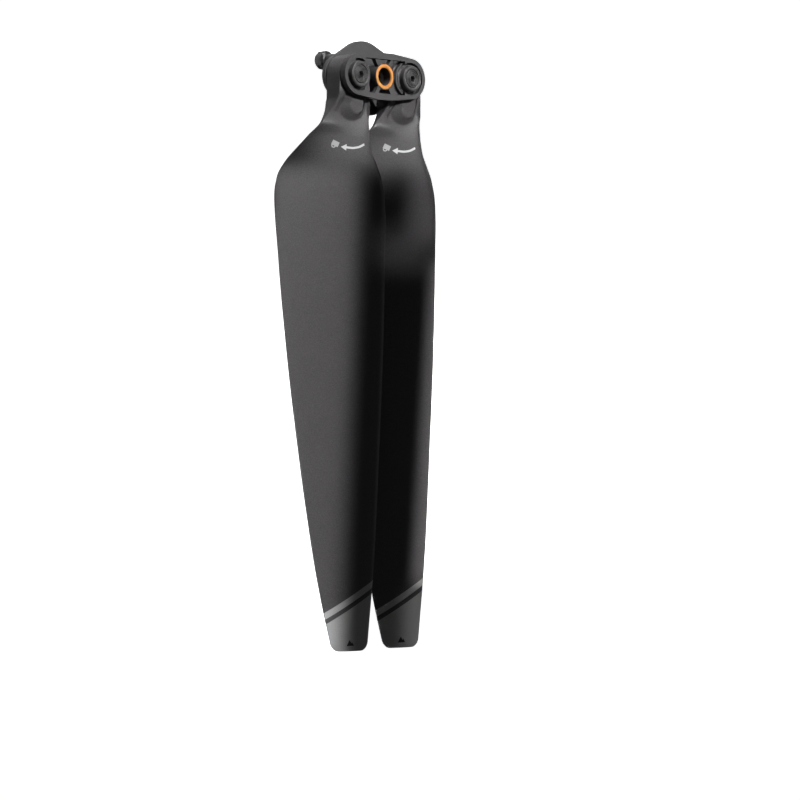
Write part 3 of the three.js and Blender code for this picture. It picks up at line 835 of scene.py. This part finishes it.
def make_top_plate():
    """The plate over the roots: a window crossed by spokes, and a centre tube with a floor in it."""
    obj = prism(top_outline(), PLATE_BOTTOM, PLATE_TOP)
    obj.name = "top_plate_moulding"
    window = rectangle(WINDOW_HALF_LENGTH, WINDOW_HALF_HEIGHT)
    boolean(obj, "DIFFERENCE", prism(window, PLATE_BOTTOM - 1, PLATE_TOP + 1))
    hole = CAP_FLANGE_R + GAP
    joins = []
    for x in PIVOT_X.values():
        joins.append(prism(circle(hole + CAP_RIM, (x, 0)), PLATE_BOTTOM, CAP_FLANGE_TOP))
    length = WINDOW_HALF_HEIGHT / math.sin(SPOKE_ANGLE) + SPOKE_WIDTH / 2
    for angle in (SPOKE_ANGLE, -SPOKE_ANGLE):
        joins.append(prism(rectangle(length, SPOKE_WIDTH / 2, angle), PLATE_BOTTOM + 0.01, SPOKE_TOP))
    joins.append(prism(circle(TUBE_R), ROOT_BOTTOM, TUBE_TOP))
    boolean(obj, "UNION", *joins)
    cuts = [prism(circle(hole, (x, 0)), PLATE_BOTTOM - 1, PLATE_TOP + 1) for x in PIVOT_X.values()]
    cuts.append(prism(circle(TUBE_BORE_R), TUBE_FLOOR_TOP, TUBE_TOP + 1))
    cuts.append(prism(circle(TUBE_BORE_R), ROOT_BOTTOM - 1, TUBE_FLOOR_BOTTOM))
    cuts.append(prism(circle(SCREW_HOLE_R), TUBE_FLOOR_BOTTOM - 1, TUBE_FLOOR_TOP + 1))
    cuts.append(prism(circle(RING_R + GAP / 2), low("marking_ring", "z") - GAP / 2, TUBE_TOP + 1))
    boolean(obj, "DIFFERENCE", *cuts)
    ease_edges(obj, 0.22)
    return finish_piece(obj, MATERIALS["hub"], "hub", ["top_plate"])


def make_ring():
    bottom, top = low("marking_ring", "z"), high("marking_ring", "z")
    profile = [(RING_BORE_R, bottom), (RING_R, bottom), (RING_R, top), (RING_BORE_R, top)]
    obj = turned("marking_ring_inlay", profile)
    return finish_piece(obj, MATERIALS["ring"], "hub", ["marking_ring"])


def socketed(obj, at, top):
    """Sinks a hexagon socket into a screw's head."""
    socket = prism(circle(SOCKET_R, at, sides=6), top - SOCKET_DEPTH, top + 1)
    return boolean(obj, "DIFFERENCE", socket)


def make_centre_screw():
    bottom, top = low("centre_screw", "z"), high("centre_screw", "z")
    head, under = radius("centre_screw"), CENTRE_HEAD_BOTTOM
    profile = [(0, bottom), (SCREW_R, bottom), (SCREW_R, under), (head, under), (head, top), (0, top)]
    obj = socketed(turned("centre_screw_fine", profile), (0, 0), top)
    return finish_piece(obj, MATERIALS["black_steel"], "hub", ["centre_screw"])


def make_cap(side):
    """A round cap over a pivot: a low flange, a boss, and a pocket for the screw's head."""
    bottom, top = low("pivot_cap_a", "z"), high("pivot_cap_a", "z")
    pocket = radius("pivot_screw_a") + GAP / 2
    floor = bottom + CAP_FLOOR
    profile = [
        (SCREW_HOLE_R, bottom), (CAP_FLANGE_R, bottom), (CAP_FLANGE_R, CAP_FLANGE_TOP),
        (CAP_R, CAP_FLANGE_TOP), (CAP_R, top - CAP_CHAMFER), (CAP_R - CAP_CHAMFER, top),
        (pocket + 0.5, top), (pocket + 0.4, top - CAP_STEP), (pocket + 0.18, top - CAP_STEP),
        (pocket, top - CAP_CHAMFER), (pocket, floor), (SCREW_HOLE_R, floor),
    ]
    obj = turned(f"pivot_cap_{side}_fine", profile, (PIVOT_X[side], 0), rounding=0.14)
    return finish_piece(obj, MATERIALS["cap"], "hub", [f"pivot_cap_{side}"])


def make_pivot_screw(side):
    """A flat-headed socket screw whose face keeps the rings that it was turned with."""
    bottom, top = low("pivot_screw_a", "z"), high("pivot_screw_a", "z")
    head = radius("pivot_screw_a")
    under = top - SCREW_HEAD_HEIGHT
    profile = [
        (0, bottom), (SCREW_R - SCREW_POINT, bottom), (SCREW_R, bottom + SCREW_POINT), (SCREW_R, under),
        (head, under), (head, top - 0.2), (head - 0.25, top),
    ]
    groove = top - GROOVE_DEPTH
    for r in TURNED_RINGS:
        profile += [(r, top), (r - 0.06, groove), (r - 0.2, groove), (r - 0.26, top)]
    profile.append((0, top))
    obj = turned(f"pivot_screw_{side}_fine", profile, (PIVOT_X[side], 0), rounding=0.05)
    socketed(obj, (PIVOT_X[side], 0), top)
    return finish_piece(obj, MATERIALS["screw"], "hub", [f"pivot_screw_{side}"])


def make_tube_piece(node, material, body, inner):
    """A plain sleeve, bush or washer."""
    bottom, top, outer = low(node, "z"), high(node, "z"), radius(node)
    profile = [(inner, bottom), (outer, bottom), (outer, top), (inner, top)]
    obj = turned(node + "_fine", profile, middle(node), rounding=0.06)
    return finish_piece(obj, MATERIALS[material], body, [node])


def make_nut(side):
    """A flanged hexagon nut under the bottom plate."""
    node = f"pivot_nut_{side}"
    at = (PIVOT_X[side], 0)
    bottom, top = low(node, "z"), high(node, "z")
    flange = radius(node)
    profile = [(0, NUT_FLANGE_BOTTOM), (flange, NUT_FLANGE_BOTTOM), (flange, top), (0, top)]
    obj = turned(node + "_fine", profile, at)
    boolean(obj, "UNION", prism(circle(NUT_R, at, sides=6), bottom, NUT_FLANGE_BOTTOM + 0.2))
    boolean(obj, "DIFFERENCE", prism(circle(SCREW_HOLE_R, at), bottom - 1, top + 1))
    ease_edges(obj, 0.12)
    return finish_piece(obj, MATERIALS["black_steel"], "hub", [node])


def make_stud(number):
    """A necked bayonet stud whose notched head locks in the motor."""
    node = f"bayonet_stud_{number}"
    at = middle(node)
    bottom, top, head = low(node, "z"), high(node, "z"), radius(node)
    shoulder, collar, shank = bottom + STUD_HEAD_HEIGHT, FLANGE_BOTTOM - GAP, STUD_SHANK_R
    neck, collar_r = STUD_NECK_R, STUD_NECK_R + STUD_COLLAR
    profile = [
        (0, bottom), (head - 0.8, bottom), (head, bottom + 0.9), (head, shoulder - 0.5),
        (head - 0.5, shoulder), (neck, shoulder + 0.4), (neck, collar - 1.7), (collar_r, collar - 1.2),
        (collar_r, collar), (shank, collar), (shank, top), (0, top),
    ]
    obj = turned(node + "_fine", profile, at, rounding=0.22)
    cuts = []
    cutter_reach = 2
    for k in range(4):
        angle = math.pi / 2 * (k + 0.5)
        outwards = Matrix.Rotation(angle, 2) @ Vector((0, head - NOTCH_DEPTH + cutter_reach))
        notch = rectangle(NOTCH_HALF_WIDTH, cutter_reach, angle, Vector(at) + outwards)
        cuts.append(prism(notch, bottom - 1, bottom + NOTCH_HEIGHT))
    boolean(obj, "DIFFERENCE", *cuts)
    return finish_piece(obj, MATERIALS["stud"], "hub", [node])


def make_hub():
    """The pieces that both blades share."""
    make_bottom_plate()
    make_top_plate()
    make_ring()
    make_centre_screw()
    for number in (1, 2):
        make_stud(number)


def make_pivot(side):
    """Everything on one pivot, from the cap down to the nut. The bush turns with its blade."""
    bore = radius("pivot_sleeve_a") + GAP
    make_cap(side)
    make_pivot_screw(side)
    make_nut(side)
    make_tube_piece(f"pivot_sleeve_{side}", "bright_steel", "hub", SCREW_HOLE_R)
    for name in ("lower_washer", "upper_washer"):
        make_tube_piece(f"{name}_{side}", "bearing", "hub", bore)
    make_tube_piece(f"blade_bush_{side}", "bearing", SIDES[side], bore)


# ---- stage, lights and camera --------------------------------------------------------------------
# Metres, as in Blender, but for the places that lamps are aimed at.
FLOOR_SIZE, FLOOR_DROP = 6.0, 0.0004  # the floor lies just under the object
WORLD_LIGHT = 0.035  # the strength of the light from all round
FLOOR_LIGHT = 0.16  # the strength of the light from the floor
TOWARDS_CAMERA = Vector((1, 0, 1)).normalized()
IMAGE_RIGHT = Vector((-1, 0, 1)).normalized()
IMAGE_UP = Vector((0, -1, 0))
CAMERA_TARGET = Vector((0, 0.1078, 0.0111)) + IMAGE_RIGHT * 0.0048
CAMERA_DISTANCE = 1.133
LENS = 153.0

# Each lamp: its name, the place that it is aimed at in millimetres, the direction from there to the lamp
# in image axes (right, up, towards the camera), its distance, its size, its power, the spread of its beam
# and its turn about the beam, in degrees. The narrow beams light one place each, with soft edges: the
# near blade's trailing half, the hub, places on the far blade, and blades that have swung round.
LAMPS = (
    ("key", (28.7, 153, 0), (-0.1, 0, 1), 0.45, (0.0271, 0.244), 0.0275, 1.5, -2.4),
    ("hub_key", (0, 2.7, 2.6), (0.62, 0.4, 0.62), 0.5, (0.052, 0.051), 0.012, 2.4, 0),
    ("top", (0, -2.5, 0), (0.2, 0.9, 0.35), 0.5, (0.048, 0.03), 0.003, 2, 0),
    ("far_edge", (-26.9, 116, 10.3), (0.1, 0, 1), 0.3, (0.012, 0.108), 0.0082, 1.8, -3.6),
    ("far_tip", (-13.4, 186, 13.4), (0, 0, 1), 0.3, (0.007, 0.028), 0.0002, 2.5, 0),
    ("far_middle", (-10.9, 57, 10.9), (0, 0, 1), 0.3, (0.018, 0.01), 0.00028, 3.5, 0),
    ("far_root", (-24, 41, 7.7), (0.1, 0.2, 1), 0.3, (0.013, 0.024), 0.00085, 2.6, 0),
    ("swung_key", (0, -130, 5), (0.1, 0.1, 1), 0.5, (0.14, 0.18), 0.11, 4, 0),
    ("fill", (0, 90, 0), (0.5, 0.4, 0.7), 1.2, (1.0, 1.0), 0.08, 180, 0),
    ("rim", (0, 90, 0), (0.9, 0.1, -0.45), 0.8, (0.1, 0.6), 0.15, 180, 0),
)


def make_camera():
    """Looks down at 45 degrees from one side, with the folded blades pointing down the image."""
    data = bpy.data.cameras.new("camera")
    data.lens = LENS
    data.sensor_width = 36.0  # millimetres, as is the lens
    camera = new_object("camera", data)
    axes = Matrix((IMAGE_RIGHT, IMAGE_UP, TOWARDS_CAMERA)).transposed().to_4x4()
    camera.matrix_world = Matrix.Translation(CAMERA_TARGET + TOWARDS_CAMERA * CAMERA_DISTANCE) @ axes
    bpy.context.scene.camera = camera


def make_floor():
    """A pale floor, white to the camera, which gives the object only a little light."""
    half = FLOOR_SIZE / 2
    z = cad_box[0][2] - FLOOR_DROP
    mesh = bpy.data.meshes.new("floor")
    corners = [(-half, -half, z), (half, -half, z), (half, half, z), (-half, half, z)]
    mesh.from_pydata(corners, [], [(0, 1, 2, 3)])
    floor = new_object("floor", mesh)
    s = Shader("pale_floor", roughness=0.9, specular=0.1)
    s.set("Base Color", s.blend(s.range(s.noise(120.0), 0.3, 0.7), grey(0.78), grey(0.82)))
    s.set("Emission Color", grey(1.0))
    seen = s.node("ShaderNodeLightPath", output="Is Camera Ray")
    s.set("Emission Strength", s.range(seen, 0, 1, FLOOR_LIGHT, 1.0))
    floor.data.materials.append(s.material)


def make_world():
    """White to the camera, and a dim surround for the light on the object."""
    world = bpy.data.worlds.new("surround")
    world.use_nodes = True
    bpy.context.scene.world = world
    tree = world.node_tree
    seen = tree.nodes.new("ShaderNodeBackground")
    seen.inputs["Strength"].default_value = 1.0
    seen.inputs["Color"].default_value = (1, 1, 1, 1)
    lit = tree.nodes["Background"]
    lit.inputs["Color"].default_value = (1, 1, 1, 1)
    lit.inputs["Strength"].default_value = WORLD_LIGHT
    ray = tree.nodes.new("ShaderNodeLightPath")
    join = tree.nodes.new("ShaderNodeMixShader")
    tree.links.new(ray.outputs["Is Camera Ray"], join.inputs[0])
    tree.links.new(lit.outputs[0], join.inputs[1])
    tree.links.new(seen.outputs[0], join.inputs[2])
    tree.links.new(join.outputs[0], tree.nodes["World Output"].inputs["Surface"])


def make_lamp(name, aim, direction, distance, size, power, spread, turn):
    """An area lamp, as a row of LAMPS describes it."""
    data = bpy.data.lights.new(name, "AREA")
    data.shape = "RECTANGLE"
    data.size, data.size_y = size
    data.energy = power
    data.spread = math.radians(spread)
    light = new_object(name, data)
    light.visible_camera = False
    right, up, towards = direction
    way = (IMAGE_RIGHT * right + IMAGE_UP * up + TOWARDS_CAMERA * towards).normalized()
    side = Matrix.Rotation(math.radians(turn), 3, way) @ IMAGE_UP.cross(way).normalized()
    axes = Matrix((side, way.cross(side), way)).transposed().to_4x4()
    light.matrix_world = Matrix.Translation(Vector(aim) * MM + way * distance) @ axes


bpy.context.scene.view_settings.view_transform = "Standard"
make_camera()
make_floor()
make_world()
for lamp in LAMPS:
    make_lamp(*lamp)
make_hub()
for blade_side in SIDES:
    make_pivot(blade_side)
    make_blade(blade_side)
    make_marks(blade_side)

bpy.context.view_layer.update()
